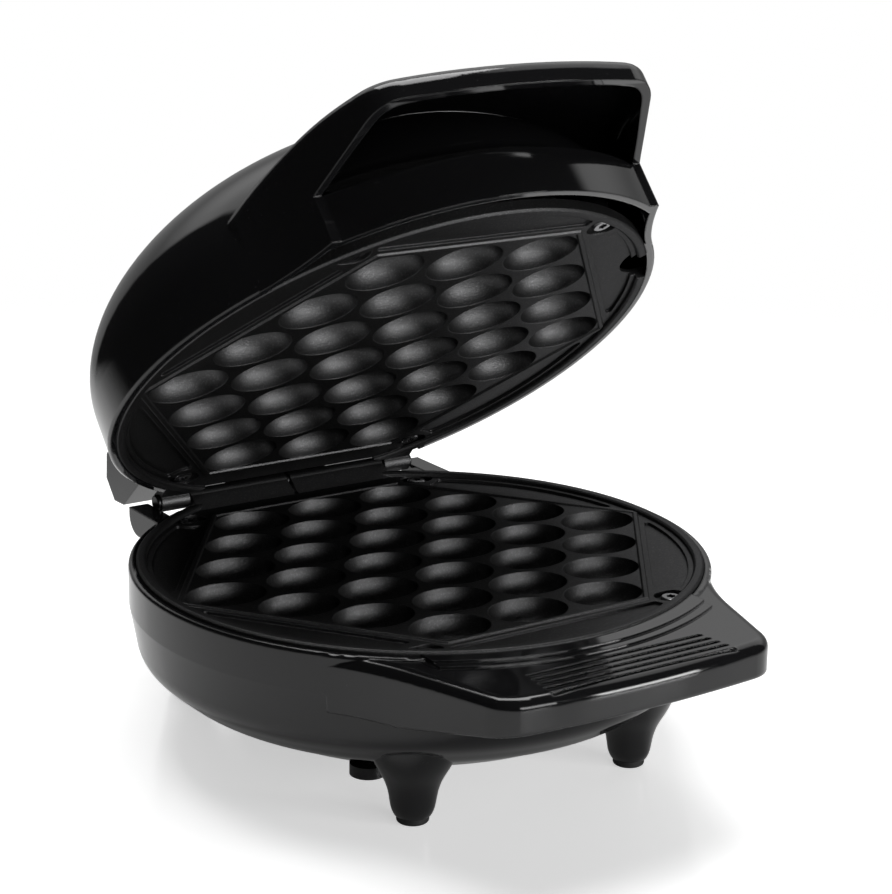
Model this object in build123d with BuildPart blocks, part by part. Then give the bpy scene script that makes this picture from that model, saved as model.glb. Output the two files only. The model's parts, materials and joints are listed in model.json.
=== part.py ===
"""Bubble waffle maker: two hinged casings, each with a cast cooking plate of egg-shaped cells.

Millimetres and degrees, Z up, X along the hinge, the handle towards -Y. Everything is made about
the upright axis of the plates with the lid shut. At the end the lid's pieces are turned open, and
all pieces move so that the origin is the middle of the footprint, on the floor.
"""
from math import asin, cos, degrees, hypot, radians, sin, sqrt
import os

from build123d import *

os.makedirs("parts", exist_ok=True)

# Driving sizes of the whole appliance
parting_height = 69.0
shell_wall = 2.5
running_clearance = 0.05
seat_clearance = 0.3
open_angle = 41.5

# Cooking plates
plate_radius = 102.2
plate_wall = 2.8
plate_meeting_gap = 0.3
rim_width = 3.7
rim_height = 1.8
rim_bevel = 0.7
plate_rear_gap = 6.0
cell_pitch_across = 32.0
cell_pitch_deep = 22.33
cell_half_length = 14.7
cell_half_width = 11.5
cell_depth = 11.0
cell_wall = 1.25
cells_in_rows = (3, 4, 5, 6, 5, 4, 3)
field_margin = 2.0
ridge_width = 2.2
ridge_height = 0.7
segment_depth = 1.2
segment_corner = 1.2
notch_radius = 10.5
notch_place = (89.1, -51.0)

# Screws that hold the plates
plate_screw_place = (51.0, 81.0)
screw_radius = 2.0
screw_head_radius = 3.7
screw_head_height = 1.6
screw_length = 14.0
star_outer_radius = 2.0
star_inner_radius = 1.3
star_depth = 0.9
screw_pocket_length = 13.0
screw_pocket_width = 9.4
screw_pocket_depth = 1.9
screw_boss_height = 1.5
post_radius = 4.6

# Hinge
hinge_y = 97.0
hinge_rise = 1.0
pin_radius = 1.6
barrel_radius = 3.1
barrel_gap = 1.4
barrel_end = 43.3
knuckle_radius = 3.8
knuckle_start = 44.0
knuckle_end = 56.0
pin_cap_radius = 3.1
pin_cap_length = 1.3
pin_cap_wall = 0.7
collar_radius = 2.6

# Base casing, its bowl's outline as distance in from the side and height above the floor
bowl_outline = ((50.0, 11.0), (40.0, 13.0), (31.0, 17.0), (23.0, 21.0), (15.0, 25.0), (10.0, 29.0),
                (5.5, 33.0), (2.5, 39.0))
bowl_side_start = 53.0
bowl_top_drop = 1.6
bowl_edge_radius = 1.4
rear_wall_gap = 5.0
well_side_gap = 1.5
well_front_gap = 1.0
well_floor_drop = 12.0
ear_width = 8.0
ear_reach = 5.5
ear_top_drop = 0.6
ear_height = 10.0
ear_rounding = 7.5

# Carrying platform at the front of the base, its plan from the bowl out to the front corners
platform_root_angle = 50.0
platform_plan_points = ((74.5, -76.3), (67.2, -92.0), (62.3, -107.0), (54.3, -132.0))
platform_front_y = -136.6
platform_corner = 14.0
platform_top_drop = 2.4
platform_band = 11.5
platform_keel_drop = 9.0
platform_keel_y = -90.0
platform_hollow_y = -84.0
platform_edge_radius = 4.0
platform_lower_radius = 1.6
collar_step_widths = (3.4, 7.2)
collar_step_heights = (1.4, 0.7)
collar_half_width = 56.0
groove_count = 5
groove_spacing = 3.9
groove_first_y = -116.3
groove_half_length = 35.7
groove_lengthening = 0.5
groove_width = 2.0
groove_depth = 1.1

# Feet, a leg's outline as radius and height
foot_front = (46.0, -67.0)
foot_rear = (54.0, 79.0)
foot_pad_radius = 5.65
foot_pad_edge = 1.0
foot_stem_radius = 2.6
foot_stem_height = 4.0
leg_outline = ((6.4, 2.8), (7.2, 4.4), (8.3, 10.0), (10.2, 16.0), (13.2, 21.5), (15.4, 27.0), (16.5, 35.0),
               (17.0, 46.0))
leg_reach = 103.5

# Cover under the bowl
cover_radius = 56.0
cover_wall = 2.0
cover_opening = 46.0
cover_boss_place = (46.0, 38.5)
cover_boss_radius = 6.5
cover_boss_height = 4.2
shell_boss_height = 12.0
vent_length = 26.0
vent_width = 3.0
vent_spacing = 8.0
vent_count = 5

# Cord gland in the rear wall
gland_height = 34.0
gland_radius = 6.5
gland_flange_radius = 8.4
gland_flange = 2.2
gland_pad_radius = 9.6
gland_bore_radius = 3.6
gland_length = 14.0

# Lid casing, heights above the parting plane
lid_bottom_gap = 0.5
lid_skirt_height = 15.8
dome_rise = 60.2
lid_edge_bevel = 0.7
dome_steps = 8
hood_root = (84.0, -49.2)
visor_cheek_y = -95.0
visor_wall = 3.0
visor_lip_cheek = 18.0
visor_lip_front = 28.0
visor_lip_y = -131.0
front_wall_radius = 113.6
hood_stations = ((-48.0, 69.4, 93.0, 20.0), (-76.0, 59.6, 74.5, 33.5), (-96.0, 51.3, 65.5, 38.5),
                 (-116.0, 43.2, 59.0, 38.5), (-138.0, 36.5, 54.0, 35.5))
hood_section_half = 92.0
hood_edge_radius = 5.0
rear_block_half = 62.0
rear_block_outline = ((88.0, 9.0), (113.0, 9.0), (119.0, 14.0), (119.0, 24.0), (112.0, 31.0), (88.0, 31.0))
lid_notch_height = 6.6
lid_notch_front_y = 84.0

# Heating parts
tube_radius = 3.2
element_radius = 64.0
element_gap_half = 16.0
terminal_radius = 1.6
terminal_length = 8.0
reflector_radius = 80.0
reflector_wall = 0.8
reflector_drop = 30.5
reflector_post_place = (52.0, 18.0)
reflector_post_radius = 4.0
reflector_slot_length = 34.0
reflector_slot_width = 9.0
support_length = 9.0
support_width = 12.0
support_angles = (-90.0, 30.0, 150.0)
thermostat_radius = 8.5
thermostat_flange_radius = 11.0
thermostat_flange = 1.2
fuse_radius = 2.2
fuse_length = 12.0
block_length = 24.0
block_width = 14.0
block_height = 10.0
block_y = 14.0
pole_half_spread = 6.0
pole_hole_radius = 1.8
wire_radius = 1.3
wire_bend = 5.0
supply_half_spread = 1.9
small_screw_radius = 1.4
small_head_radius = 2.8
small_head_height = 1.4
small_screw_length = 8.0

# Indicator lights in the lid
lens_half_spread = 9.0
lens_y = -24.0
lens_radius = 3.2
lens_flange_radius = 4.4
lens_flange = 1.0
lens_pad_radius = 6.0
lens_pad = 1.5
lens_stand = 0.9
lamp_radius = 2.3
lamp_length = 9.0
holder_length = 40.0
holder_width = 12.0
holder_wall = 1.6
holder_post_radius = 2.6

# Places worked out from the sizes above
hinge_z = parting_height + hinge_rise
hinge_axis = Axis((0, hinge_y, hinge_z), (-1, 0, 0))
mirror_plane = Plane.XY.offset(parting_height)
rim_top = parting_height - plate_meeting_gap
field_top = rim_top - rim_height
plate_underside = field_top - plate_wall
plate_rear_edge = hinge_y - plate_rear_gap
plate_space = plate_radius + seat_clearance
casing_radius = plate_space + shell_wall
cell_centre_z = field_top + cell_half_width - cell_depth
cell_bottom = cell_centre_z - cell_half_width - cell_wall
cell_rows = len(cells_in_rows)
cell_places = [
    ((k - (count - 1) / 2) * cell_pitch_across, (row - (cell_rows - 1) / 2) * cell_pitch_deep)
    for row, count in enumerate(cells_in_rows)
    for k in range(count)
]
screw_seat = field_top - screw_pocket_depth
post_top = plate_underside - screw_boss_height

bowl_floor = bowl_outline[0][1]
bowl_top = parting_height - bowl_top_drop
rear_flat_y = hinge_y + rear_wall_gap
well_half_width = knuckle_end + well_side_gap
well_front_y = plate_rear_edge + well_front_gap
well_floor = parting_height - well_floor_drop
flange_slot_half = sqrt(plate_space ** 2 - (well_front_y - shell_wall) ** 2)
ear_top = parting_height - ear_top_drop
platform_top = parting_height - platform_top_drop
platform_underside = platform_top - platform_band
pad_height = leg_outline[0][1]
cover_top = bowl_floor

lid_bottom = parting_height + lid_bottom_gap
dome_base = parting_height + lid_skirt_height
dome_inner_radius = casing_radius - shell_wall
dome_inner_rise = dome_rise - shell_wall

reflector_top = parting_height - reflector_drop
reflector_bottom = reflector_top - reflector_wall
element_z = cell_bottom - seat_clearance - tube_radius
element_gap_angle = degrees(asin(element_gap_half / element_radius))
pin_half_length = knuckle_end + pin_cap_length - pin_cap_wall
wire_x = element_gap_half - terminal_length + wire_radius


def four(place):
    """The same place in all four quarters."""
    x, y = place
    return [(i * x, j * y) for i in (-1, 1) for j in (-1, 1)]


screw_places = four(plate_screw_place)
foot_places = [(side * x, y) for x, y in (foot_front, foot_rear) for side in (-1, 1)]
lens_places = [(side * lens_half_spread, lens_y) for side in (-1, 1)]
holder_post_x = holder_length / 2 - holder_post_radius


def hexagon(margin):
    """Corners of the six-sided cell field, its sides a margin outside the outer cells."""
    step = hypot(cell_pitch_across / 2, cell_pitch_deep)
    normal_x, normal_y = cell_pitch_deep / step, cell_pitch_across / 2 / step
    last_x, last_y = (cells_in_rows[0] - 1) / 2 * cell_pitch_across, (cell_rows - 1) / 2 * cell_pitch_deep
    reach = hypot(cell_half_length * normal_x, cell_half_width * normal_y)
    flat_y = last_y + cell_half_width + margin
    side = normal_x * last_x + normal_y * last_y + reach + margin
    corner_x, tip_x = (side - normal_y * flat_y) / normal_x, side / normal_x
    return [(tip_x, 0), (corner_x, flat_y), (-corner_x, flat_y), (-tip_x, 0), (-corner_x, -flat_y),
            (corner_x, -flat_y)]


def arc_height(station, x):
    """Height of a hood cross section above the parting plane, x from its middle."""
    _, middle, half, side = station
    sag = middle - side
    radius = (half ** 2 + sag ** 2) / (2 * sag)
    return middle - radius + sqrt(radius ** 2 - x ** 2)


def dome_height(x, y, radius, rise):
    """Height of the dome over a place in plan."""
    return dome_base + rise * sqrt(1 - (x ** 2 + y ** 2) / radius ** 2)


def hood_sections(drop):
    """Cross sections of all that lies a drop or more below the hood's crowned top."""
    sections = []
    for station in hood_stations:
        with BuildSketch(Plane.XZ.offset(-station[0])) as section:
            side_z = parting_height + arc_height(station, hood_section_half) - drop
            middle_z = parting_height + station[1] - drop
            with BuildLine():
                Polyline((-hood_section_half, side_z), (-hood_section_half, parting_height),
                         (hood_section_half, parting_height), (hood_section_half, side_z))
                ThreePointArc((hood_section_half, side_z), (0, middle_z), (-hood_section_half, side_z))
            make_face()
        sections.append(section.sketch)
    return sections


def star_points():
    """Outline of a six-pointed driver recess."""
    return [(r * cos(radians(30 * i)), r * sin(radians(30 * i)))
            for i, r in enumerate([star_outer_radius, star_inner_radius] * 6)]


# Egg cell: the hollow and its outer wall, each a spheroid lying along X
with BuildPart() as cell_hollow:
    with BuildSketch(Plane.XY):
        Ellipse(cell_half_length, cell_half_width)
        split(bisect_by=Plane.XZ)
    revolve(axis=Axis.X)

with BuildPart() as cell_bump:
    with BuildSketch(Plane.XY):
        Ellipse(cell_half_length + cell_wall, cell_half_width + cell_wall)
        split(bisect_by=Plane.XZ)
    revolve(axis=Axis.X)
    split(bisect_by=Plane.XY.offset(cell_depth - cell_half_width), keep=Keep.BOTTOM)

# Cast plate as both casings carry it, facing up in the lower place
with BuildPart() as plate_casting:
    with BuildSketch(Plane.XY.offset(plate_underside)):
        Circle(plate_radius)
    extrude(amount=plate_wall)
    with BuildSketch(Plane.XY.offset(field_top)):
        Circle(plate_radius)
        Circle(plate_radius - rim_width, mode=Mode.SUBTRACT)
    extrude(amount=rim_height)
    chamfer(edges().group_by(Axis.Z)[-1], rim_bevel)
    with BuildSketch(Plane.XY.offset(plate_underside)):
        with Locations((0, plate_rear_edge)):
            Rectangle(2 * plate_radius, plate_radius, align=(Align.CENTER, Align.MIN))
    extrude(amount=plate_wall + rim_height, mode=Mode.SUBTRACT)
    with BuildSketch(Plane.XY.offset(field_top)):
        Polygon(*hexagon(ridge_width), align=None)
        Polygon(*hexagon(0), align=None, mode=Mode.SUBTRACT)
        Circle(plate_radius - rim_width, mode=Mode.INTERSECT)
    extrude(amount=ridge_height, taper=30)
    with BuildSketch(Plane.XY.offset(field_top)):
        Circle(plate_radius - rim_width - field_margin)
        Polygon(*hexagon(ridge_width + field_margin), align=None, mode=Mode.SUBTRACT)
        with Locations(*screw_places):
            Circle(screw_pocket_length / 2 + field_margin, mode=Mode.SUBTRACT)
        with Locations((0, hexagon(0)[1][1])):
            Rectangle(2 * plate_screw_place[0], plate_radius, align=(Align.CENTER, Align.MIN),
                      mode=Mode.SUBTRACT)
    extrude(amount=-segment_depth, mode=Mode.SUBTRACT)
    pocket_corners = edges().filter_by(Axis.Z).filter_by(
        lambda e: abs(e.length - segment_depth) < segment_depth / 10 and e.center().Z < field_top)
    fillet(pocket_corners, segment_corner)
    with BuildSketch(Plane.XY.offset(post_top)):
        with Locations(*screw_places):
            Circle(post_radius)
    extrude(amount=screw_boss_height)
    with Locations(*[(x, y, cell_centre_z) for x, y in cell_places]):
        add(cell_bump.part)
    with Locations(*[(x, y, cell_centre_z) for x, y in cell_places]):
        add(cell_hollow.part, mode=Mode.SUBTRACT)
    with BuildSketch(Plane.XY.offset(field_top)):
        with Locations(*screw_places):
            SlotOverall(screw_pocket_length, screw_pocket_width)
    extrude(amount=-screw_pocket_depth, mode=Mode.SUBTRACT)
    with BuildSketch(Plane.XY.offset(field_top)):
        with Locations(*screw_places):
            Circle(screw_radius + running_clearance)
    extrude(amount=post_top - field_top, mode=Mode.SUBTRACT)

# Lower plate: the casting with the two middle barrels of the hinge
with BuildPart() as lower_plate:
    add(plate_casting.part)
    for start in (-barrel_end, barrel_gap / 2):
        with BuildSketch(Plane.YZ.offset(start)):
            with Locations((hinge_y, hinge_z)):
                Circle(barrel_radius)
            Polygon((plate_rear_edge - plate_wall, plate_underside), (plate_rear_edge - plate_wall, field_top),
                    (hinge_y - barrel_radius * 0.7, hinge_z + barrel_radius * 0.6),
                    (hinge_y, hinge_z - barrel_radius * 0.9), align=None)
        extrude(amount=barrel_end - barrel_gap / 2)
    with BuildSketch(Plane.YZ.offset(-barrel_end)):
        with Locations((hinge_y, hinge_z)):
            Circle(pin_radius + running_clearance)
    extrude(amount=2 * barrel_end, mode=Mode.SUBTRACT)
lower_plate.part.label = "lower_plate"

# Upper plate: the same casting face down, with the outer knuckles on arms and a notch in the rim
with BuildPart() as upper_plate:
    mirror(plate_casting.part, about=mirror_plane)
    face_z = 2 * parting_height - field_top
    arm_front_y = plate_screw_place[1] + screw_pocket_width / 2 + seat_clearance
    for start in (-knuckle_end, knuckle_start):
        with BuildSketch(Plane.YZ.offset(start)):
            with Locations((hinge_y, hinge_z)):
                Circle(knuckle_radius)
            Polygon((arm_front_y, face_z), (arm_front_y, face_z + plate_wall),
                    (hinge_y, hinge_z + knuckle_radius * 0.95), (hinge_y - knuckle_radius * 0.95, hinge_z),
                    align=None)
        extrude(amount=knuckle_end - knuckle_start)
    with BuildSketch(Plane.YZ.offset(-knuckle_end)):
        with Locations((hinge_y, hinge_z)):
            Circle(pin_radius + running_clearance)
    extrude(amount=2 * knuckle_end, mode=Mode.SUBTRACT)
    with BuildSketch(Plane.XY.offset(parting_height)):
        with Locations(notch_place):
            Circle(notch_radius)
    extrude(amount=plate_wall + rim_height + 1, mode=Mode.SUBTRACT)
upper_plate.part.label = "upper_plate"

# Screws in the plates' oval pockets
with BuildPart() as lower_plate_screws:
    with BuildSketch(Plane.XY.offset(screw_seat)):
        with Locations(*screw_places):
            Circle(screw_head_radius)
    extrude(amount=screw_head_height)
    fillet(faces().filter_by(Axis.Z).group_by(Axis.Z)[-1].edges(), screw_head_height / 2)
    with BuildSketch(Plane.XY.offset(screw_seat)):
        with Locations(*screw_places):
            Circle(screw_radius)
    extrude(amount=-screw_length)
    with BuildSketch(Plane.XY.offset(screw_seat + screw_head_height)):
        with Locations(*screw_places):
            Polygon(*star_points(), align=None)
    extrude(amount=-star_depth, mode=Mode.SUBTRACT)
lower_plate_screws.part.label = "lower_plate_screws"

with BuildPart() as upper_plate_screws:
    mirror(lower_plate_screws.part, about=mirror_plane)
upper_plate_screws.part.label = "upper_plate_screws"

# Hinge pin, its two domed caps and the collar in the middle
with BuildPart() as hinge_pin:
    with BuildSketch(Plane.YZ.offset(-pin_half_length)):
        with Locations((hinge_y, hinge_z)):
            Circle(pin_radius)
    extrude(amount=2 * pin_half_length)
hinge_pin.part.label = "hinge_pin"

with BuildPart() as hinge_caps:
    with BuildSketch(Plane.YZ.offset(knuckle_end + running_clearance)):
        with Locations((hinge_y, hinge_z)):
            Circle(pin_cap_radius)
    extrude(amount=pin_cap_length)
    fillet(edges().group_by(Axis.X)[-1], pin_cap_wall)
    with BuildSketch(Plane.YZ.offset(knuckle_end)):
        with Locations((hinge_y, hinge_z)):
            Circle(pin_radius + running_clearance)
    extrude(amount=pin_cap_length - pin_cap_wall + running_clearance, mode=Mode.SUBTRACT)
    mirror(about=Plane.YZ)
hinge_caps.part.label = "hinge_caps"

with BuildPart() as hinge_collar:
    with BuildSketch(Plane.YZ.offset(running_clearance - barrel_gap / 2)):
        with Locations((hinge_y, hinge_z)):
            Circle(collar_radius)
            Circle(pin_radius + running_clearance, mode=Mode.SUBTRACT)
    extrude(amount=barrel_gap - 2 * running_clearance)
hinge_collar.part.label = "hinge_collar"


# Bowl of the base and the space inside it
def bowl_section(inset):
    """Half of the bowl's upright section, moved in by a wall."""
    outline = [(casing_radius - distance - inset, height + inset) for distance, height in bowl_outline]
    side = casing_radius - inset
    with BuildSketch(Plane.XZ) as section:
        with BuildLine():
            Line((0, bowl_floor + inset), outline[0])
            Spline(*outline)
            Polyline(outline[-1], (side, bowl_side_start), (side, bowl_top), (0, bowl_top),
                     (0, bowl_floor + inset))
        make_face()
    return section.sketch


def box_between(low, high):
    """Box between two corners, to add or cut."""
    with BuildPart(mode=Mode.PRIVATE) as block:
        with Locations(low):
            Box(*[b - a for a, b in zip(low, high)], align=(Align.MIN, Align.MIN, Align.MIN))
    return block.part


with BuildPart() as bowl_solid:
    revolve(bowl_section(0), axis=Axis.Z)
    fillet(faces().sort_by(Axis.Z)[-1].edges(), bowl_edge_radius)

root_turn = radians(platform_root_angle)
platform_root = (casing_radius * sin(root_turn), -casing_radius * cos(root_turn))
front_x, front_y = platform_plan_points[-1]


def platform_plan(inset):
    """Plan of the carrying platform and of the hood over it, moved in by a wall."""
    last_x, last_y = platform_plan_points[-2]
    with BuildSketch() as plan:
        with BuildLine():
            for side in (-1, 1):
                flare = [(side * (x - inset), y) for x, y in (platform_root,) + platform_plan_points[:-1]]
                Spline(*flare, tangents=((-side * cos(root_turn), -sin(root_turn)),
                                         (side * (front_x - last_x), front_y - last_y)))
                Line(flare[-1], (side * (front_x - inset), front_y + inset))
            ThreePointArc((front_x - inset, front_y + inset), (0, platform_front_y + inset),
                          (inset - front_x, front_y + inset))
            Line((inset - platform_root[0], platform_root[1]), (platform_root[0] - inset, platform_root[1]))
        make_face()
        fillet(plan.vertices().filter_by(lambda v: abs(v.Y - front_y - inset) < 0.1), platform_corner - inset)
    return plan.sketch


reach = 2 * casing_radius
keel = platform_underside - platform_keel_drop
with BuildPart() as platform_solid:
    with BuildSketch(Plane.XY.offset(keel)):
        add(platform_plan(0))
    extrude(amount=platform_top - keel)
    with BuildSketch(Plane.YZ):
        Polygon((platform_front_y - 1, platform_top), (platform_front_y - 1, platform_underside),
                (platform_keel_y, keel), (0, keel), (0, platform_top), align=None)
    extrude(amount=reach, both=True, mode=Mode.INTERSECT)
    top_edges = faces().sort_by(Axis.Z)[-1].edges().filter_by(lambda e: e.center().Y < platform_root[1] - 1)
    fillet(top_edges, platform_edge_radius)
    keel_edges = edges().filter_by(lambda e: keel - 1 < e.center().Z < platform_underside + 1
                                   and e.center().Y < platform_root[1] - 5 and e.length > platform_corner / 2)
    fillet(keel_edges, platform_lower_radius)

with BuildPart() as platform_cavity:
    with BuildSketch(Plane.XY.offset(keel + shell_wall)):
        add(platform_plan(shell_wall))
    extrude(amount=platform_top - keel - 2 * shell_wall)
    with BuildSketch(Plane.YZ):
        Polygon((platform_front_y, platform_top), (platform_front_y, platform_underside + shell_wall),
                (platform_keel_y, keel + shell_wall), (platform_hollow_y, keel + shell_wall),
                (platform_hollow_y, platform_top), align=None)
    extrude(amount=reach, both=True, mode=Mode.INTERSECT)

with BuildPart() as base_cavity:
    revolve(bowl_section(shell_wall), axis=Axis.Z)
    add(box_between((-well_half_width - shell_wall, rear_flat_y - shell_wall, 0), (well_half_width + shell_wall,
                    reach, parting_height)), mode=Mode.SUBTRACT)
    add(box_between((-well_half_width - shell_wall, well_front_y - shell_wall, well_floor - shell_wall),
                    (well_half_width + shell_wall, reach, parting_height)), mode=Mode.SUBTRACT)

# Posts inside the base: four under the plate, four under the reflector, four over the cover's screws
with BuildPart() as base_posts:
    with BuildSketch(Plane.XY.offset(post_top)):
        with Locations(*screw_places):
            Circle(post_radius)
    extrude(amount=-post_top)
    with BuildSketch(Plane.XY.offset(reflector_bottom)):
        with Locations(*four(reflector_post_place)):
            Circle(reflector_post_radius)
    extrude(amount=-reflector_bottom)
    with BuildSketch(Plane.XY.offset(bowl_floor + shell_boss_height)):
        with Locations(*four(cover_boss_place)):
            Circle(cover_boss_radius)
    extrude(amount=-bowl_floor - shell_boss_height)
    revolve(bowl_section(shell_wall / 2), axis=Axis.Z, mode=Mode.INTERSECT)

with BuildPart() as leg_solid:
    with BuildSketch(Plane.XZ):
        with BuildLine():
            Polyline((0, leg_outline[-1][1]), (0, pad_height), leg_outline[0])
            Spline(*leg_outline)
            Line(leg_outline[-1], (0, leg_outline[-1][1]))
        make_face()
    revolve(axis=Axis.Z)

with BuildPart() as legs:
    with Locations(*foot_places):
        add(leg_solid.part)
    with BuildSketch():
        Circle(leg_reach)
    extrude(amount=leg_outline[-1][1], mode=Mode.INTERSECT)

# Base casing: bowl, platform, legs and ears in one moulding
with BuildPart() as base_shell:
    add(bowl_solid.part)
    add(platform_solid.part)
    for width, height in zip(collar_step_widths, collar_step_heights):
        with BuildSketch(Plane.XY.offset(platform_top - 1)):
            Circle(casing_radius + width)
            Circle(casing_radius - shell_wall, mode=Mode.SUBTRACT)
            with Locations((0, -casing_radius)):
                Rectangle(2 * collar_half_width, 2 * casing_radius - 2 * collar_half_width, mode=Mode.INTERSECT)
        extrude(amount=1 + height)
    for side in (-1, 1):
        with BuildPart(mode=Mode.PRIVATE) as ear:
            with BuildSketch(Plane.YZ.offset(side * well_half_width)):
                with Locations((hinge_y - casing_radius / 4, ear_top)):
                    Rectangle(casing_radius / 4 + ear_reach, ear_height, align=(Align.MIN, Align.MAX))
            extrude(amount=side * ear_width)
            with BuildSketch(Plane.XY.offset(ear_top)):
                Circle(plate_space)
            extrude(amount=-ear_height, mode=Mode.SUBTRACT)
        add(ear.part)
    ear_edges = edges().filter_by(Axis.X).filter_by(lambda e: abs(e.center().Y - hinge_y - ear_reach) < 0.1)
    fillet(ear_edges.group_by(Axis.Z)[0], ear_rounding)
    with BuildSketch(Plane.XZ.offset(-rear_flat_y)):
        with Locations((0, gland_height)):
            Circle(gland_pad_radius)
    extrude(amount=gland_length)
    add(legs.part)
    add(box_between((-well_half_width, rear_flat_y, 0), (well_half_width, reach, parting_height + rim_height)),
        mode=Mode.SUBTRACT)
    add(base_cavity.part, mode=Mode.SUBTRACT)
    add(platform_cavity.part, mode=Mode.SUBTRACT)
    add(base_posts.part)
    add(box_between((-well_half_width, well_front_y, well_floor), (well_half_width, reach, parting_height)),
        mode=Mode.SUBTRACT)
    add(box_between((-flange_slot_half, well_front_y - shell_wall, plate_underside - seat_clearance),
                    (flange_slot_half, well_front_y, parting_height)), mode=Mode.SUBTRACT)
    with BuildSketch(Plane.XY.offset(post_top)):
        with Locations(*screw_places):
            Circle(screw_radius + running_clearance)
    extrude(amount=-screw_length, mode=Mode.SUBTRACT)
    with BuildSketch(Plane.XY.offset(reflector_bottom)):
        with Locations(*four(reflector_post_place)):
            Circle(small_screw_radius + running_clearance)
    extrude(amount=-small_screw_length, mode=Mode.SUBTRACT)
    with BuildSketch(Plane.XY.offset(bowl_floor)):
        Circle(cover_opening)
    extrude(amount=shell_wall, mode=Mode.SUBTRACT)
    with BuildSketch():
        with Locations(*four(cover_boss_place)):
            Circle(small_screw_radius + running_clearance)
        with Locations(*foot_places):
            Circle(foot_stem_radius + running_clearance)
    extrude(amount=pad_height + foot_stem_height + seat_clearance, mode=Mode.SUBTRACT)
    with BuildSketch(Plane.XY.offset(bowl_floor - cover_boss_height)):
        with Locations(*four(cover_boss_place)):
            Circle(small_screw_radius + running_clearance)
    extrude(amount=small_screw_length + cover_boss_height, mode=Mode.SUBTRACT)
    with BuildSketch(Plane.XZ.offset(-rear_flat_y)):
        with Locations((0, gland_height)):
            Circle(gland_radius + running_clearance)
    extrude(amount=gland_length, mode=Mode.SUBTRACT)
    for i in range(groove_count):
        with BuildSketch(Plane.XY.offset(platform_top)):
            with Locations((0, groove_first_y - i * groove_spacing)):
                SlotOverall(2 * (groove_half_length + i * groove_lengthening), groove_width)
        extrude(amount=-groove_depth, mode=Mode.SUBTRACT)
base_shell.part.label = "base_shell"

# Rubber pads under the legs
with BuildPart() as foot_pads:
    with BuildSketch():
        with Locations(*foot_places):
            Circle(foot_pad_radius)
    extrude(amount=pad_height)
    fillet(faces().filter_by(Axis.Z).group_by(Axis.Z)[0].edges(), foot_pad_edge)
    with BuildSketch(Plane.XY.offset(pad_height)):
        with Locations(*foot_places):
            Circle(foot_stem_radius)
    extrude(amount=foot_stem_height)
foot_pads.part.label = "foot_pads"

# Round cover that closes the bowl from below, with vents and four screw bosses
with BuildPart() as bottom_cover:
    with BuildSketch(Plane.XY.offset(cover_top - cover_wall)):
        Circle(cover_radius)
    extrude(amount=cover_wall)
    with BuildSketch(Plane.XY.offset(cover_top - cover_boss_height)):
        with Locations(*four(cover_boss_place)):
            Circle(cover_boss_radius)
    extrude(amount=cover_boss_height)
    with BuildSketch(Plane.XY.offset(cover_top)):
        with Locations(*four(cover_boss_place)):
            Circle(small_screw_radius + running_clearance)
        with GridLocations(0, vent_spacing, 1, vent_count):
            with Locations((0, -cover_opening / 2)):
                SlotOverall(vent_length, vent_width)
    extrude(amount=-cover_boss_height, mode=Mode.SUBTRACT)
    with BuildSketch(Plane.XY.offset(cover_top - cover_boss_height)):
        with Locations(*four(cover_boss_place)):
            Circle(small_head_radius + running_clearance)
    extrude(amount=small_head_height + running_clearance, mode=Mode.SUBTRACT)
bottom_cover.part.label = "bottom_cover"


def small_screws(places, seat_z, length):
    """Round-headed screws that point down from a seat, or up from it where the length is negative."""
    sign = -1 if length > 0 else 1
    with BuildPart() as screws:
        with BuildSketch(Plane.XY.offset(seat_z)):
            with Locations(*places):
                Circle(small_head_radius)
        extrude(amount=-sign * small_head_height)
        with BuildSketch(Plane.XY.offset(seat_z)):
            with Locations(*places):
                Circle(small_screw_radius)
        extrude(amount=-length)
        with BuildSketch(Plane.XY.offset(seat_z - sign * small_head_height)):
            with Locations(*places):
                Rectangle(small_head_radius, small_head_height / 2)
                Rectangle(small_head_height / 2, small_head_radius)
        extrude(amount=sign * small_head_height / 2, mode=Mode.SUBTRACT)
    return screws


bottom_cover_screws = small_screws(four(cover_boss_place), cover_top - cover_boss_height + small_head_height
                                   + running_clearance, -small_screw_length)
bottom_cover_screws.part.label = "bottom_cover_screws"
lower_reflector_screws = small_screws(four(reflector_post_place), reflector_top, small_screw_length)
lower_reflector_screws.part.label = "lower_reflector_screws"

# Bushing in the rear wall where the lead goes in
with BuildPart() as cord_gland:
    with BuildSketch(Plane.XZ.offset(-rear_flat_y)):
        with Locations((0, gland_height)):
            Circle(gland_radius)
    extrude(amount=gland_length)
    with BuildSketch(Plane.XZ.offset(-rear_flat_y)):
        with Locations((0, gland_height)):
            Circle(gland_flange_radius)
    extrude(amount=-gland_flange)
    fillet(faces().sort_by(Axis.Y)[-1].edges(), gland_flange / 3)
    with BuildSketch(Plane.XZ.offset(-rear_flat_y - gland_flange)):
        with Locations((0, gland_height)):
            Circle(gland_bore_radius)
    extrude(amount=gland_length + gland_flange, mode=Mode.SUBTRACT)
cord_gland.part.label = "cord_gland"

# Tubular heating element, a ring open at the rear with a pin at each end
with BuildPart() as lower_element:
    with BuildSketch(Plane.XZ.rotated((0, 0, 90 + element_gap_angle))):
        with Locations((element_radius, element_z)):
            Circle(tube_radius)
    revolve(axis=Axis.Z, revolution_arc=360 - 2 * element_gap_angle)
    end_angle = radians(element_gap_angle)
    for side in (-1, 1):
        end = (side * element_radius * sin(end_angle), element_radius * cos(end_angle), element_z)
        inward = (-side * cos(end_angle), sin(end_angle), 0)
        with BuildSketch(Plane(origin=end, z_dir=inward)):
            Circle(terminal_radius)
        extrude(amount=terminal_length)
lower_element.part.label = "lower_element"

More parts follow.
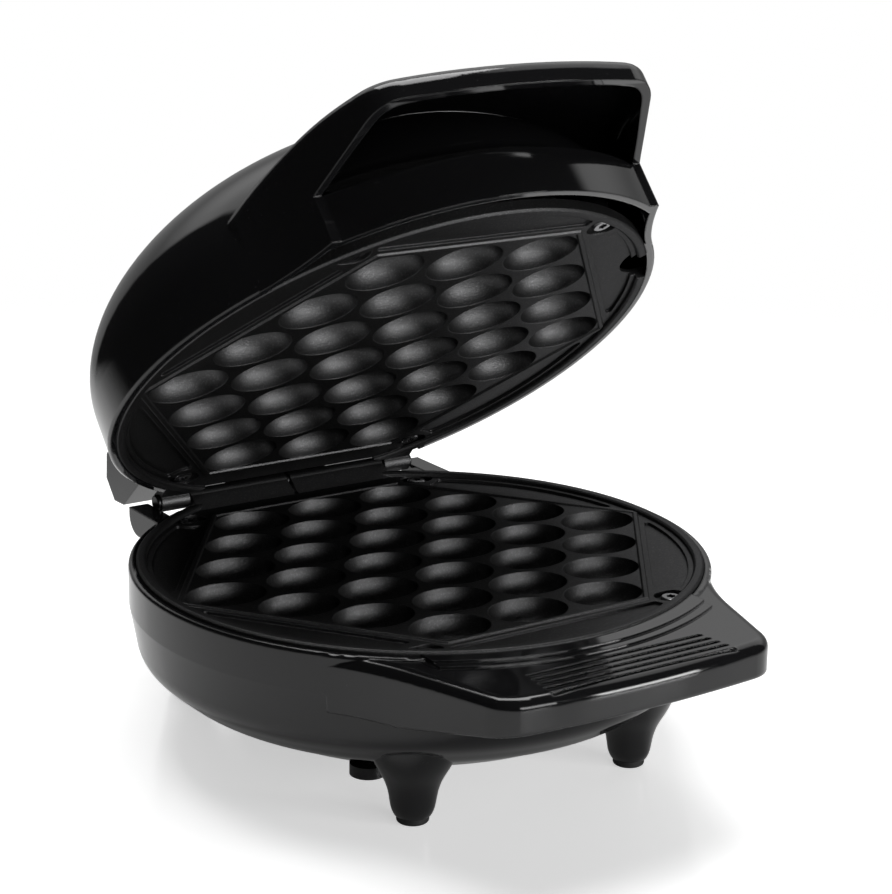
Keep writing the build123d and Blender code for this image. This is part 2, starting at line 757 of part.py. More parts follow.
# Steel sheet under the element, with a slot for the element's leads
with BuildPart() as lower_reflector:
    with BuildSketch(Plane.XY.offset(reflector_bottom)):
        Circle(reflector_radius)
        with Locations(*four(reflector_post_place)):
            Circle(small_screw_radius + running_clearance, mode=Mode.SUBTRACT)
        with Locations((0, element_radius)):
            SlotOverall(reflector_slot_length, reflector_slot_width, mode=Mode.SUBTRACT)
    extrude(amount=reflector_wall)
lower_reflector.part.label = "lower_reflector"

# Ceramic cradles between the sheet and the element
with BuildPart() as lower_element_supports:
    for angle in support_angles:
        turned = Plane.XY.offset(reflector_top).rotated((0, 0, angle))
        with BuildSketch(turned):
            with Locations((element_radius, 0)):
                Rectangle(support_width, support_length)
        extrude(amount=element_z - reflector_top)
    with BuildSketch(Plane.XZ):
        with Locations((element_radius, element_z)):
            Circle(tube_radius + seat_clearance)
    revolve(axis=Axis.Z, mode=Mode.SUBTRACT)
lower_element_supports.part.label = "lower_element_supports"

# Snap-disc thermostat that stands on the sheet, its flange under a cell
with BuildPart() as lower_thermostat:
    with BuildSketch(Plane.XY.offset(reflector_top)):
        with Locations((cell_pitch_across / 2, 0)):
            Circle(thermostat_radius)
    extrude(amount=cell_bottom - seat_clearance - reflector_top)
    with BuildSketch(Plane.XY.offset(cell_bottom - seat_clearance)):
        with Locations((cell_pitch_across / 2, 0)):
            Circle(thermostat_flange_radius)
    extrude(amount=-thermostat_flange)
lower_thermostat.part.label = "lower_thermostat"

# One-shot thermal fuse with its two leads
fuse_z = reflector_top + seat_clearance + fuse_radius
with BuildPart() as thermal_fuse:
    with BuildSketch(Plane.YZ.offset(-cell_pitch_across)):
        with Locations((0, fuse_z)):
            Circle(fuse_radius)
    extrude(amount=fuse_length / 2, both=True)
    with BuildSketch(Plane.YZ.offset(-cell_pitch_across)):
        with Locations((0, fuse_z)):
            Circle(fuse_radius / 3)
    extrude(amount=fuse_length, both=True)
thermal_fuse.part.label = "thermal_fuse"


def block_at(y, foot_z):
    """Two-pole terminal block that stands on a foot height."""
    with BuildPart() as block:
        with BuildSketch(Plane.XY.offset(foot_z)):
            with Locations((0, y)):
                Rectangle(block_length, block_width)
        extrude(amount=block_height)
        fillet(edges().filter_by(Axis.Z), block_height / 10)
        with BuildSketch(Plane.XZ.offset(-y - block_width / 2)):
            with Locations((-pole_half_spread, foot_z + block_height / 2),
                           (pole_half_spread, foot_z + block_height / 2)):
                Circle(pole_hole_radius)
        extrude(amount=block_width, mode=Mode.SUBTRACT)
    return block


def wires(routes):
    """Round wires along routes of straight runs joined by arcs, each route drawn on both sides."""
    with BuildPart() as group:
        for route in routes:
            for side in (-1, 1):
                points = [(side * x, y, z) for x, y, z in route]
                with BuildLine() as path:
                    FilletPolyline(*points, radius=wire_bend)
                with BuildSketch(Plane(path.line @ 0, z_dir=path.line % 0)):
                    Circle(wire_radius)
                sweep(path=path.line)
    return group


terminal_block = block_at(block_y, cover_top)
terminal_block.part.label = "terminal_block"
pole_z = cover_top + block_height / 2
base_wiring = wires([
    ((supply_half_spread, rear_flat_y - gland_length, gland_height), (supply_half_spread, block_y, gland_height),
     (supply_half_spread, block_y, cover_top + block_height)),
    ((pole_half_spread, block_y + block_width / 2, pole_z), (pole_half_spread, block_y + 2 * block_width, pole_z),
     (wire_x, element_radius, pole_z + wire_bend), (wire_x, element_radius, element_z - tube_radius)),
])
base_wiring.part.label = "base_wiring"


# Dome of the lid and the space inside it, closed
def dome_section(inset, bevel):
    """Half of the dome's upright section, moved in by a wall, its lower corner bevelled."""
    radius = casing_radius - inset
    rise = dome_rise - inset
    turns = [radians(90 * i / dome_steps) for i in range(dome_steps + 1)]
    with BuildSketch(Plane.XZ) as section:
        with BuildLine():
            Polyline((0, dome_base + rise), (0, lid_bottom), (radius - bevel, lid_bottom),
                     (radius, lid_bottom + bevel), (radius, dome_base))
            Spline(*[(radius * cos(t), dome_base + rise * sin(t)) for t in turns], tangents=((0, 1), (-1, 0)))
        make_face()
    return section.sketch


with BuildPart() as dome_solid:
    revolve(dome_section(0, lid_edge_bevel), axis=Axis.Z)

with BuildPart() as dome_cavity:
    revolve(dome_section(shell_wall, shell_wall / 4), axis=Axis.Z)

# Hood over the front: its plan, the crowned top, the visor's slanted lip and the wall below it
with BuildSketch() as hood_plan:
    add(platform_plan(0))
    Polygon(hood_root, platform_root, (-platform_root[0], platform_root[1]), (-hood_root[0], hood_root[1]),
            align=None)

hood_top = parting_height + lid_skirt_height + dome_rise
with BuildPart() as hood_solid:
    loft(hood_sections(0))
    with BuildSketch(Plane.XY.offset(lid_bottom)):
        add(hood_plan.sketch)
    extrude(amount=hood_top - lid_bottom, mode=Mode.INTERSECT)
    crown_edges = edges().filter_by(
        lambda e: e.center().Z > parting_height + visor_lip_cheek and e.center().Y < hood_root[1] - 1
        and e.geom_type != GeomType.LINE)
    fillet(crown_edges, hood_edge_radius)

lip_cheek_z = parting_height + visor_lip_cheek
lip_front_z = parting_height + visor_lip_front
with BuildPart() as under_visor:
    with BuildSketch(Plane.YZ):
        Polygon((visor_cheek_y, parting_height), (visor_cheek_y, lip_cheek_z), (visor_lip_y, lip_front_z),
                (-reach, lip_front_z), (-reach, parting_height), align=None)
    extrude(amount=reach, both=True)
    with BuildSketch(Plane.XY.offset(parting_height)):
        Circle(front_wall_radius)
    extrude(amount=visor_lip_cheek, mode=Mode.SUBTRACT)

with BuildPart() as finger_recess:
    loft(hood_sections(visor_wall))
    with BuildSketch(Plane.XY.offset(lip_cheek_z)):
        add(platform_plan(visor_wall))
    extrude(amount=hood_top - lip_cheek_z, mode=Mode.INTERSECT)
    add(dome_solid.part, mode=Mode.SUBTRACT)

with BuildPart() as front_hollow:
    with BuildSketch(Plane.XY.offset(lid_bottom)):
        add(platform_plan(visor_wall))
        Circle(front_wall_radius - shell_wall, mode=Mode.INTERSECT)
    extrude(amount=lip_cheek_z - shell_wall - lid_bottom)

block_outline = [(y, parting_height + height) for y, height in rear_block_outline]
with BuildPart() as rear_block:
    with BuildSketch(Plane.YZ):
        Polygon(*block_outline, align=None)
    extrude(amount=rear_block_half, both=True)

lens_pad_z = dome_height(lens_half_spread, lens_y, dome_inner_radius, dome_inner_rise) - lens_pad
holder_top = lens_pad_z - lens_flange - lamp_length - 2 * seat_clearance

# Posts inside the lid: four over the plate, four over the reflector and two for the lamp holder
with BuildPart() as lid_posts:
    with BuildSketch(Plane.XY.offset(2 * parting_height - post_top)):
        with Locations(*screw_places):
            Circle(post_radius)
    extrude(amount=hood_top)
    with BuildSketch(Plane.XY.offset(2 * parting_height - reflector_bottom)):
        with Locations(*four(reflector_post_place)):
            Circle(reflector_post_radius)
    extrude(amount=hood_top)
    with BuildSketch(Plane.XY.offset(holder_top)):
        with Locations((-holder_post_x, lens_y), (holder_post_x, lens_y)):
            Circle(holder_post_radius)
    extrude(amount=hood_top)
    with BuildSketch(Plane.XY.offset(lens_pad_z)):
        with Locations(*lens_places):
            Circle(lens_pad_radius)
    extrude(amount=hood_top)
    revolve(dome_section(shell_wall / 2, shell_wall / 4), axis=Axis.Z, mode=Mode.INTERSECT)

# Lid casing: dome, hood and the block behind the hinge in one moulding
with BuildPart() as lid_shell:
    add(dome_solid.part)
    add(hood_solid.part)
    add(under_visor.part, mode=Mode.SUBTRACT)
    add(rear_block.part)
    add(finger_recess.part, mode=Mode.SUBTRACT)
    add(dome_cavity.part, mode=Mode.SUBTRACT)
    add(front_hollow.part, mode=Mode.SUBTRACT)
    with BuildSketch(Plane.YZ):
        Polygon(*block_outline, align=None)
        offset(amount=-shell_wall)
    extrude(amount=rear_block_half - shell_wall, both=True, mode=Mode.SUBTRACT)
    add(lid_posts.part)
    add(box_between((-well_half_width, lid_notch_front_y, 0), (well_half_width, hinge_y + ear_reach,
                    parting_height + lid_notch_height)), mode=Mode.SUBTRACT)
    with BuildSketch(Plane.XY.offset(2 * parting_height - post_top)):
        with Locations(*screw_places):
            Circle(screw_radius + running_clearance)
    extrude(amount=screw_length, mode=Mode.SUBTRACT)
    with BuildSketch(Plane.XY.offset(2 * parting_height - reflector_bottom)):
        with Locations(*four(reflector_post_place)):
            Circle(small_screw_radius + running_clearance)
    extrude(amount=small_screw_length, mode=Mode.SUBTRACT)
    with BuildSketch(Plane.XY.offset(holder_top)):
        with Locations((-holder_post_x, lens_y), (holder_post_x, lens_y)):
            Circle(small_screw_radius + running_clearance)
    extrude(amount=small_screw_length, mode=Mode.SUBTRACT)
    with BuildSketch(Plane.XY.offset(lens_pad_z)):
        with Locations(*lens_places):
            Circle(lens_radius + running_clearance)
    extrude(amount=hood_top, mode=Mode.SUBTRACT)
lid_shell.part.label = "lid_shell"


def lens_and_lamp(place):
    """Clear lens that stands out of the dome and the small lamp under it."""
    top = dome_height(place[0], place[1], casing_radius, dome_rise) + lens_stand
    with BuildPart() as lens:
        with BuildSketch(Plane.XY.offset(lens_pad_z)):
            with Locations(place):
                Circle(lens_radius)
        extrude(amount=top - lens_pad_z)
        fillet(faces().sort_by(Axis.Z)[-1].edges(), lens_stand)
        with BuildSketch(Plane.XY.offset(lens_pad_z)):
            with Locations(place):
                Circle(lens_flange_radius)
        extrude(amount=-lens_flange)
    with BuildPart() as lamp:
        with BuildSketch(Plane.XY.offset(holder_top + seat_clearance)):
            with Locations(place):
                Circle(lamp_radius)
        extrude(amount=lamp_length)
        fillet(faces().sort_by(Axis.Z)[-1].edges(), lamp_radius / 2)
    return lens, lamp


power_lens, power_lamp = lens_and_lamp(lens_places[0])
power_lens.part.label = "power_lens"
power_lamp.part.label = "power_lamp"
ready_lens, ready_lamp = lens_and_lamp(lens_places[1])
ready_lens.part.label = "ready_lens"
ready_lamp.part.label = "ready_lamp"

# Board that carries the two lamps, with its screws
with BuildPart() as lamp_holder:
    with BuildSketch(Plane.XY.offset(holder_top)):
        with Locations((0, lens_y)):
            Rectangle(holder_length, holder_width)
        with Locations((-holder_post_x, lens_y), (holder_post_x, lens_y)):
            Circle(small_screw_radius + running_clearance, mode=Mode.SUBTRACT)
    extrude(amount=-holder_wall)
    fillet(edges().filter_by(Axis.Z).filter_by(GeomType.LINE), holder_wall)
lamp_holder.part.label = "lamp_holder"
holder_screws = small_screws([(-holder_post_x, lens_y), (holder_post_x, lens_y)], holder_top - holder_wall,
                             -small_screw_length)
holder_screws.part.label = "holder_screws"


def mirrored(builder, name):
    """The same piece on the other side of the parting plane, for the lid."""
    with BuildPart() as copy:
        mirror(builder.part, about=mirror_plane)
    copy.part.label = name
    return copy


upper_element = mirrored(lower_element, "upper_element")
upper_element_supports = mirrored(lower_element_supports, "upper_element_supports")
upper_reflector = mirrored(lower_reflector, "upper_reflector")
upper_reflector_screws = mirrored(lower_reflector_screws, "upper_reflector_screws")
upper_thermostat = mirrored(lower_thermostat, "upper_thermostat")

lid_block_foot = 2 * parting_height - reflector_bottom
lid_terminal_block = block_at(block_y, lid_block_foot)
lid_terminal_block.part.label = "lid_terminal_block"
lid_pole_z = lid_block_foot + block_height / 2
lid_wiring = wires([
    ((pole_half_spread / 2, lens_y, holder_top - holder_wall), (pole_half_spread / 2, lens_y, holder_top
     - holder_wall - 2 * wire_bend), (pole_half_spread / 2, block_y, holder_top - holder_wall - 2 * wire_bend),
     (pole_half_spread / 2, block_y, lid_block_foot + block_height)),
    ((pole_half_spread, block_y + block_width / 2, lid_pole_z), (pole_half_spread, block_y + 2 * block_width,
     lid_pole_z), (wire_x, element_radius, lid_pole_z + 1), (wire_x, element_radius, 2 * parting_height
     - element_z + tube_radius)),
])
lid_wiring.part.label = "lid_wiring"

base_pieces = (
    base_shell, bottom_cover, bottom_cover_screws, foot_pads, lower_plate, lower_plate_screws, lower_element,
    lower_element_supports, lower_reflector, lower_reflector_screws, lower_thermostat, thermal_fuse,
    terminal_block, base_wiring, cord_gland, hinge_pin, hinge_caps, hinge_collar,
)
lid_pieces = (
    lid_shell, upper_plate, upper_plate_screws, upper_element, upper_element_supports, upper_reflector,
    upper_reflector_screws, upper_thermostat, lid_terminal_block, lid_wiring, power_lens, ready_lens,
    power_lamp, ready_lamp, lamp_holder, holder_screws,
)

# Open the lid, put the origin under the middle of the footprint and write every piece
placed = [(piece.part.label, piece.part) for piece in base_pieces]
placed += [(piece.part.label, piece.part.rotate(hinge_axis, open_angle)) for piece in lid_pieces]
boxes = [shape.bounding_box() for _, shape in placed]
middle_x = (min(box.min.X for box in boxes) + max(box.max.X for box in boxes)) / 2
middle_y = (min(box.min.Y for box in boxes) + max(box.max.Y for box in boxes)) / 2
to_origin = Location((-middle_x, -middle_y, 0))
print("origin moves by", round(-middle_x, 4), round(-middle_y, 4))
for name, shape in placed:
    written = shape.moved(to_origin)
    written.label = name
    export_step(written, f"parts/{name}.step")
    if not shape.is_valid:
        print("not valid:", name)
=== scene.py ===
"""Looks of the bubble waffle maker: finishes, floor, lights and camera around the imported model."""
import json
from math import cos, radians, sin

import bpy
from mathutils import Matrix, Vector

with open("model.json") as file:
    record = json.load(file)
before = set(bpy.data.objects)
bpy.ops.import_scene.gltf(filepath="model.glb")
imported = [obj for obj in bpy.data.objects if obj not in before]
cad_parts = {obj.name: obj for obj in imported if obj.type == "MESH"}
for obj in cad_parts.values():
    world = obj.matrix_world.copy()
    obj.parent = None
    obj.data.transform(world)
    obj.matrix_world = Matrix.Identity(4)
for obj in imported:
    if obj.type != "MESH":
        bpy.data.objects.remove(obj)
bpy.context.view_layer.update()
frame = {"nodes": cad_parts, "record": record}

# Camera where the photograph was taken from, in millimetres and degrees
camera_place = (-465.7, -702.26, 352.45)
camera_azimuth = -33.989
camera_elevation = 16.12
camera_roll = 0.88
camera_lens = 99.22
sensor_width = 36.0
camera_near, camera_far = 0.05, 50.0
millimetre = 0.001

# Floor, in metres, with its colours, its roughness and how it glows where it is seen or mirrored
floor_reach = 3.0
floor_clear_radius = 0.3
floor_fade_radius = 0.75
floor_glow_seen = 0.54
floor_glow_mirrored = 0.08
floor_index = 1.42
floor_greys = ((0.93, 0.93, 0.93), (0.96, 0.96, 0.96))
floor_roughness = (0.14, 0.2)
floor_cloud_scale = 6.0

# The studio's pale screen, by the planes of its two edges and by heights in degrees
screen_left_normal = (0.947, 0.0995, 0.3055)
screen_right_normal = (0.026, 1.0, 0.0)
screen_edge_blur = 0.04
screen_top = (55.0, 66.0)
screen_rise = (10.0, 30.0)
screen_levels = (0.26, 0.95)
studio_dark_level = 0.012

# Soft lights: name, place, point aimed at, size in metres and power in watts
soft_lights = (
    ("overhead_light", (0.15, 0.35, 1.7), (0.0, 0.0, 0.05), (1.4, 1.0), 26.0),
    ("front_light", (0.1, -1.7, 0.4), (0.0, 0.0, 0.12), (1.0, 0.4), 8.0),
    ("right_light", (0.95, -1.45, 0.3), (0.0, 0.0, 0.12), (0.5, 0.4), 10.0),
)

# Grain and handling marks: noise scales per metre and the noise levels at which each mark starts and is full
grain_levels = (0.52, 0.72)
scratch_levels = (0.68, 0.8)
scratch_stretch = (40.0, 900.0, 900.0)
scratch_turn = (0.4, 0.9, 0.6)
smear_scale = 18.0
dust_scale = 1400.0
dust_levels = (0.74, 0.8)

# Casings' polish: roughness without and with smears, and what a hairline or a dust speck adds
polish_roughness = (0.035, 0.09)
polish_scratch_roughness = 0.12
polish_index = 1.5
polish_bump = 0.00006
dust_lightness = 0.02
casing_edge_radius = 0.0009

# Plates' coat: roughness, sheen at the edge of view, grain and softened rims
coat_roughness = (0.4, 0.5)
coat_edge_tint = (0.3, 0.3, 0.3, 1.0)
coat_grain_scale = 1500.0
coat_mottle_scale = 45.0
coat_grain_bump = 0.00014
coat_edge_radius = 0.0006
white = (1.0, 1.0, 1.0, 1.0)


def make_camera():
    """Camera at the photograph's place, turned by its bearing, height and roll."""
    turn, rise, roll = radians(camera_azimuth), radians(camera_elevation), radians(camera_roll)
    back = Vector((sin(turn) * cos(rise), -cos(turn) * cos(rise), sin(rise)))
    level_right = Vector((cos(turn), sin(turn), 0))
    level_up = back.cross(level_right)
    right = cos(roll) * level_right + sin(roll) * level_up
    up = -sin(roll) * level_right + cos(roll) * level_up
    camera = bpy.data.objects.new("camera", bpy.data.cameras.new("camera"))
    bpy.context.scene.collection.objects.link(camera)
    turned = Matrix((right, up, back)).transposed().to_4x4()
    camera.matrix_world = Matrix.Translation(Vector(camera_place) * millimetre) @ turned
    camera.data.lens = camera_lens
    camera.data.sensor_width = sensor_width
    camera.data.clip_start = camera_near
    camera.data.clip_end = camera_far
    bpy.context.scene.camera = camera


make_camera()


# Small helpers for building node trees
def add_math(tree, operation, first, second):
    """Math node on two sockets or plain numbers, its result socket."""
    node = tree.nodes.new("ShaderNodeMath")
    node.operation = operation
    for socket, value in zip(node.inputs, (first, second)):
        if isinstance(value, (int, float)):
            socket.default_value = value
        else:
            tree.links.new(value, socket)
    return node.outputs[0]


def add_vector_math(tree, operation, vector, other=None):
    """Vector math node on a socket and a plain vector, its number socket."""
    node = tree.nodes.new("ShaderNodeVectorMath")
    node.operation = operation
    tree.links.new(vector, node.inputs[0])
    if other:
        node.inputs[1].default_value = other
    return node.outputs["Value"]


def add_noise(tree, place, scale, detail):
    """Noise texture at a place, its scale a socket or a plain number."""
    node = tree.nodes.new("ShaderNodeTexNoise")
    tree.links.new(place, node.inputs["Vector"])
    if isinstance(scale, (int, float)):
        node.inputs["Scale"].default_value = scale
    else:
        tree.links.new(scale, node.inputs["Scale"])
    node.inputs["Detail"].default_value = detail
    node.inputs["Roughness"].default_value = 0.6
    return node.outputs["Fac"]


def spread_value(tree, share, low, high, start=0.0, end=1.0, smooth=False):
    """Number that goes from low to high as a value goes from start to end, its result socket."""
    node = tree.nodes.new("ShaderNodeMapRange")
    if smooth:
        node.interpolation_type = "SMOOTHSTEP"
    for label, value in (("From Min", start), ("From Max", end), ("To Min", low), ("To Max", high)):
        node.inputs[label].default_value = value
    tree.links.new(share, node.inputs["Value"])
    return node.outputs["Result"]


def blend_colours(tree, share, low, high):
    """Colour between two by a share, its result socket."""
    node = tree.nodes.new("ShaderNodeMix")
    node.data_type = "RGBA"
    tree.links.new(share, node.inputs["Factor"])
    node.inputs[6].default_value = (*low, 1.0)
    node.inputs[7].default_value = (*high, 1.0)
    return node.outputs[2]


def raise_bump(tree, shader, height, distance, strength):
    """Bump from a height onto the shader's normal, its node."""
    node = tree.nodes.new("ShaderNodeBump")
    node.inputs["Distance"].default_value = distance
    node.inputs["Strength"].default_value = strength
    tree.links.new(height, node.inputs["Height"])
    tree.links.new(node.outputs["Normal"], shader.inputs["Normal"])
    return node


def soften_edges(tree, bump, radius):
    """Normals rounded over sharp edges, as on a coated or moulded rim, under a bump."""
    node = tree.nodes.new("ShaderNodeBevel")
    node.samples = 4
    node.inputs["Radius"].default_value = radius
    tree.links.new(node.outputs["Normal"], bump.inputs["Normal"])


# Node groups shared by several finishes
def new_group(name, inputs, outputs):
    """Empty shader node group with named number sockets, its start and end nodes."""
    group = bpy.data.node_groups.new(name, "ShaderNodeTree")
    for label, default in inputs:
        socket = group.interface.new_socket(name=label, in_out="INPUT", socket_type="NodeSocketFloat")
        socket.default_value = default
    for label in outputs:
        group.interface.new_socket(name=label, in_out="OUTPUT", socket_type="NodeSocketFloat")
    return group, group.nodes.new("NodeGroupInput").outputs, group.nodes.new("NodeGroupOutput").inputs


def make_grain_group():
    """Fine grain of a moulded or sprayed surface: its height, and a mask of lighter grains."""
    group, start, end = new_group("fine_grain", [("Scale", 900.0), ("Mottle Scale", 60.0)],
                                  ["Height", "Grain", "Mottle"])
    place = group.nodes.new("ShaderNodeTexCoord").outputs["Object"]
    fine = add_noise(group, place, start["Scale"], 4.0)
    group.links.new(fine, end["Height"])
    group.links.new(spread_value(group, fine, 0.0, 1.0, *grain_levels), end["Grain"])
    group.links.new(add_noise(group, place, start["Mottle Scale"], 3.0), end["Mottle"])
    return group


def make_handling_group():
    """Marks of handling on a polished surface: hairline scratches, smears and dust."""
    group, start, end = new_group("handling_marks", [("Scale", 1.0)], ["Scratches", "Smears", "Dust"])
    place = group.nodes.new("ShaderNodeTexCoord").outputs["Object"]
    stretch = group.nodes.new("ShaderNodeMapping")
    stretch.inputs["Scale"].default_value = scratch_stretch
    stretch.inputs["Rotation"].default_value = scratch_turn
    group.links.new(place, stretch.inputs["Vector"])
    lines = add_noise(group, stretch.outputs["Vector"], start["Scale"], 2.0)
    group.links.new(spread_value(group, lines, 0.0, 1.0, *scratch_levels), end["Scratches"])
    broad = add_math(group, "MULTIPLY", start["Scale"], smear_scale)
    group.links.new(add_noise(group, place, broad, 3.0), end["Smears"])
    specks = add_noise(group, place, add_math(group, "MULTIPLY", start["Scale"], dust_scale), 1.0)
    group.links.new(spread_value(group, specks, 0.0, 1.0, *dust_levels), end["Dust"])
    return group


grain_group = make_grain_group()
handling_group = make_handling_group()


def new_material(name):
    """Material with its surface shader's sockets and the tree to build in."""
    material = bpy.data.materials.new(name)
    material.use_nodes = True
    return material, material.node_tree, material.node_tree.nodes["Principled BSDF"]


def place_group(tree, group, **values):
    """Outputs of one use of a shared group with its own values."""
    node = tree.nodes.new("ShaderNodeGroup")
    node.node_tree = group
    for label, value in values.items():
        node.inputs[label.replace("_", " ")].default_value = value
    return node.outputs


def polished_casing(name, colour):
    """Glossy black moulding with faint smears, hairlines and a little dust."""
    material, tree, shader = new_material(name)
    marks = place_group(tree, handling_group, Scale=1.0)
    dusted = blend_colours(tree, marks["Dust"], colour, [c + dust_lightness for c in colour])
    tree.links.new(dusted, shader.inputs["Base Color"])
    smeared = spread_value(tree, marks["Smears"], *polish_roughness)
    scratched = add_math(tree, "MULTIPLY", marks["Scratches"], polish_scratch_roughness)
    tree.links.new(add_math(tree, "ADD", smeared, scratched), shader.inputs["Roughness"])
    shader.inputs["IOR"].default_value = polish_index
    soften_edges(tree, raise_bump(tree, shader, marks["Smears"], polish_bump, 0.5), casing_edge_radius)
    return material


def cooking_coat(name, colour):
    """Satin black non-stick coat: sprayed grain, slightly mottled sheen."""
    material, tree, shader = new_material(name)
    grain = place_group(tree, grain_group, Scale=coat_grain_scale, Mottle_Scale=coat_mottle_scale)
    tree.links.new(blend_colours(tree, grain["Grain"], colour, [c * 1.6 + 0.006 for c in colour]),
                   shader.inputs["Base Color"])
    tree.links.new(spread_value(tree, grain["Mottle"], *coat_roughness), shader.inputs["Roughness"])
    shader.inputs["Metallic"].default_value = 1.0
    shader.inputs["Specular Tint"].default_value = coat_edge_tint
    soften_edges(tree, raise_bump(tree, shader, grain["Height"], coat_grain_bump, 0.7), coat_edge_radius)
    return material


def moulded_plastic(name, colour, roughness, grain_scale=1200.0):
    """Matt moulded plastic, rubber or ceramic with a fine texture."""
    material, tree, shader = new_material(name)
    grain = place_group(tree, grain_group, Scale=grain_scale, Mottle_Scale=80.0)
    darker, lighter = [c * 0.85 for c in colour], [min(1.0, c * 1.12) for c in colour]
    tree.links.new(blend_colours(tree, grain["Mottle"], darker, lighter), shader.inputs["Base Color"])
    tree.links.new(spread_value(tree, grain["Mottle"], roughness - 0.06, roughness + 0.06),
                   shader.inputs["Roughness"])
    raise_bump(tree, shader, grain["Height"], 0.00006, 0.7)
    return material


def worked_steel(name, colour, roughness, scratch_scale=1.0):
    """Bare or plated steel with fine scratches and uneven sheen."""
    material, tree, shader = new_material(name)
    marks = place_group(tree, handling_group, Scale=scratch_scale)
    tree.links.new(blend_colours(tree, marks["Smears"], [c * 0.75 for c in colour], colour),
                   shader.inputs["Base Color"])
    shader.inputs["Metallic"].default_value = 1.0
    rough = spread_value(tree, marks["Smears"], roughness - 0.07, roughness + 0.07)
    scratched = add_math(tree, "MULTIPLY", marks["Scratches"], 0.15)
    tree.links.new(add_math(tree, "ADD", rough, scratched), shader.inputs["Roughness"])
    raise_bump(tree, shader, marks["Scratches"], 0.00002, 0.5)
    return material


def clear_lens(name, colour):
    """Tinted clear plastic, slightly scuffed."""
    material, tree, shader = new_material(name)
    marks = place_group(tree, handling_group, Scale=2.0)
    tree.links.new(blend_colours(tree, marks["Smears"], [c * 0.8 for c in colour], colour),
                   shader.inputs["Base Color"])
    tree.links.new(spread_value(tree, marks["Smears"], 0.05, 0.16), shader.inputs["Roughness"])
    shader.inputs["Transmission Weight"].default_value = 0.35
    shader.inputs["IOR"].default_value = 1.49
    return material


finishes = {
    "casing": polished_casing("casing_black", (0.007, 0.007, 0.0075)),
    "coated_plate": cooking_coat("plate_coat", (0.08, 0.08, 0.081)),
    "pad_rubber": moulded_plastic("pad_rubber", (0.012, 0.012, 0.012), 0.62),
    "screw_steel": worked_steel("screw_steel", (0.22, 0.22, 0.225), 0.28, 3.0),
    "hinge_steel": worked_steel("hinge_steel", (0.06, 0.06, 0.062), 0.36, 2.0),
    "sheet_steel": worked_steel("sheet_steel", (0.6, 0.6, 0.61), 0.34),
    "tube_steel": worked_steel("tube_steel", (0.3, 0.28, 0.26), 0.42, 2.0),
    "ceramic": moulded_plastic("ceramic", (0.8, 0.78, 0.73), 0.55, 700.0),
    "black_plastic": moulded_plastic("black_plastic", (0.014, 0.014, 0.015), 0.42),
    "block_plastic": moulded_plastic("block_plastic", (0.74, 0.73, 0.7), 0.45),
    "wire_sleeve": moulded_plastic("wire_sleeve", (0.45, 0.07, 0.05), 0.5),
    "red_lens": clear_lens("red_lens", (0.6, 0.02, 0.015)),
    "green_lens": clear_lens("green_lens", (0.03, 0.42, 0.07)),
    "lamp_glass": clear_lens("lamp_glass", (0.9, 0.86, 0.8)),
}
for entry in frame["record"]["subparts"]:
    node = frame["nodes"][entry["node"]]
    node.data.materials.clear()
    node.data.materials.append(finishes[entry["material_slot"]])


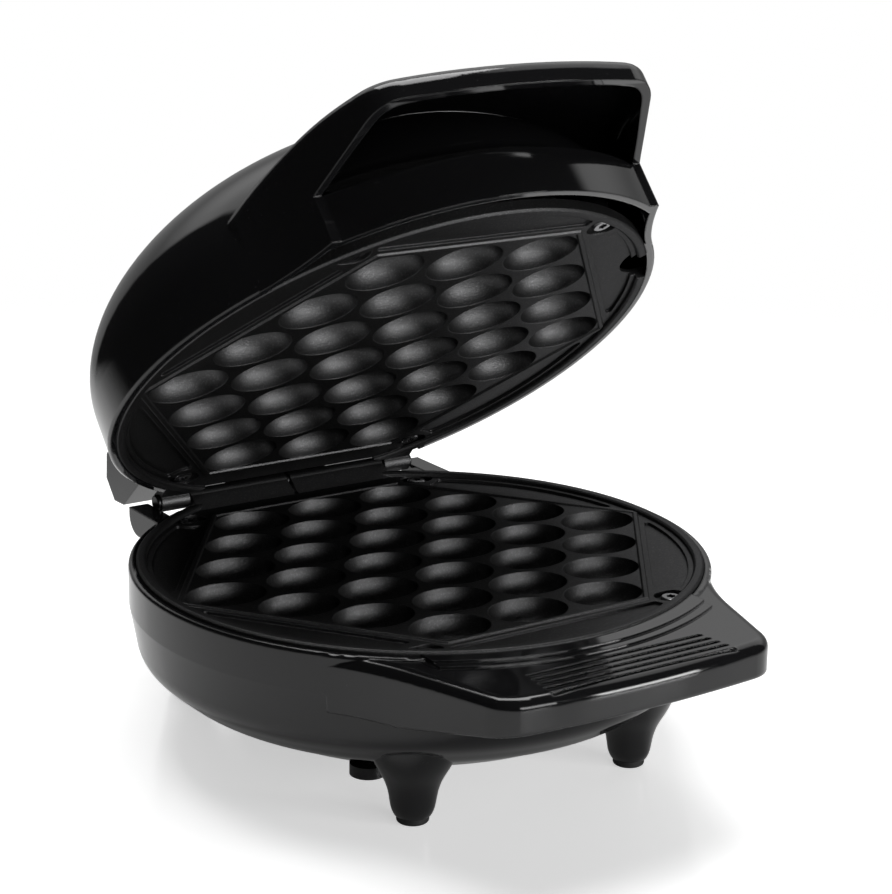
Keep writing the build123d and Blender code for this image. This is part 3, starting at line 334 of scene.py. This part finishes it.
def make_floor():
    """Pale glossy table top that fades into the white surroundings."""
    mesh = bpy.data.meshes.new("floor")
    corners = [(x * floor_reach, y * floor_reach, 0.0) for x, y in ((-1, -1), (1, -1), (1, 1), (-1, 1))]
    mesh.from_pydata(corners, [], [(0, 1, 2, 3)])
    floor = bpy.data.objects.new("floor", mesh)
    bpy.context.scene.collection.objects.link(floor)
    material, tree, shader = new_material("floor_top")
    place = tree.nodes.new("ShaderNodeTexCoord").outputs["Object"]
    shader.inputs["IOR"].default_value = floor_index
    cloud = add_noise(tree, place, floor_cloud_scale, 2.0)
    tree.links.new(blend_colours(tree, cloud, *floor_greys), shader.inputs["Base Color"])
    tree.links.new(spread_value(tree, cloud, *floor_roughness), shader.inputs["Roughness"])
    distance = add_vector_math(tree, "LENGTH", place)
    fade = spread_value(tree, distance, 1.0, 0.0, floor_clear_radius, floor_fade_radius, smooth=True)
    tree.links.new(fade, shader.inputs["Alpha"])
    path = tree.nodes.new("ShaderNodeLightPath").outputs
    seen = add_math(tree, "MULTIPLY", path["Is Camera Ray"], floor_glow_seen)
    mirrored = add_math(tree, "MULTIPLY", path["Is Glossy Ray"], floor_glow_mirrored)
    shader.inputs["Emission Color"].default_value = white
    tree.links.new(add_math(tree, "ADD", seen, mirrored), shader.inputs["Emission Strength"])
    mesh.materials.append(material)


def make_surroundings():
    """Dark studio with a broad pale screen behind the object, and white where the camera looks."""
    world = bpy.data.worlds.new("studio")
    world.use_nodes = True
    bpy.context.scene.world = world
    tree = world.node_tree
    background = tree.nodes["Background"]
    direction = tree.nodes.new("ShaderNodeTexCoord").outputs["Generated"]
    axes = tree.nodes.new("ShaderNodeSeparateXYZ")
    tree.links.new(direction, axes.inputs["Vector"])
    height = axes.outputs["Z"]
    below_top = spread_value(tree, height, 1.0, 0.0, *[sin(radians(a)) for a in screen_top], smooth=True)
    level = spread_value(tree, height, *screen_levels, *[sin(radians(a)) for a in screen_rise], smooth=True)
    lit = add_math(tree, "MULTIPLY", below_top, level)
    for normal in (screen_left_normal, screen_right_normal):
        beyond = add_vector_math(tree, "DOT_PRODUCT", direction, normal)
        inside = spread_value(tree, beyond, 0.0, 1.0, -screen_edge_blur, screen_edge_blur, smooth=True)
        lit = add_math(tree, "MULTIPLY", lit, inside)
    dim = add_math(tree, "MAXIMUM", lit, studio_dark_level)
    seen = tree.nodes.new("ShaderNodeLightPath").outputs["Is Camera Ray"]
    tree.links.new(add_math(tree, "MAXIMUM", dim, seen), background.inputs["Strength"])
    background.inputs["Color"].default_value = white


def make_softbox(name, place, aim, size, power):
    """Rectangular studio light turned towards a point."""
    light = bpy.data.lights.new(name, "AREA")
    light.shape = "RECTANGLE"
    light.size, light.size_y = size
    light.energy = power
    lamp = bpy.data.objects.new(name, light)
    bpy.context.scene.collection.objects.link(lamp)
    lamp.location = place
    lamp.rotation_mode = "QUATERNION"
    lamp.rotation_quaternion = (Vector(aim) - Vector(place)).to_track_quat("-Z", "Y")


make_floor()
make_surroundings()
for soft_light in soft_lights:
    make_softbox(*soft_light)

bpy.context.scene.view_settings.view_transform = "Standard"
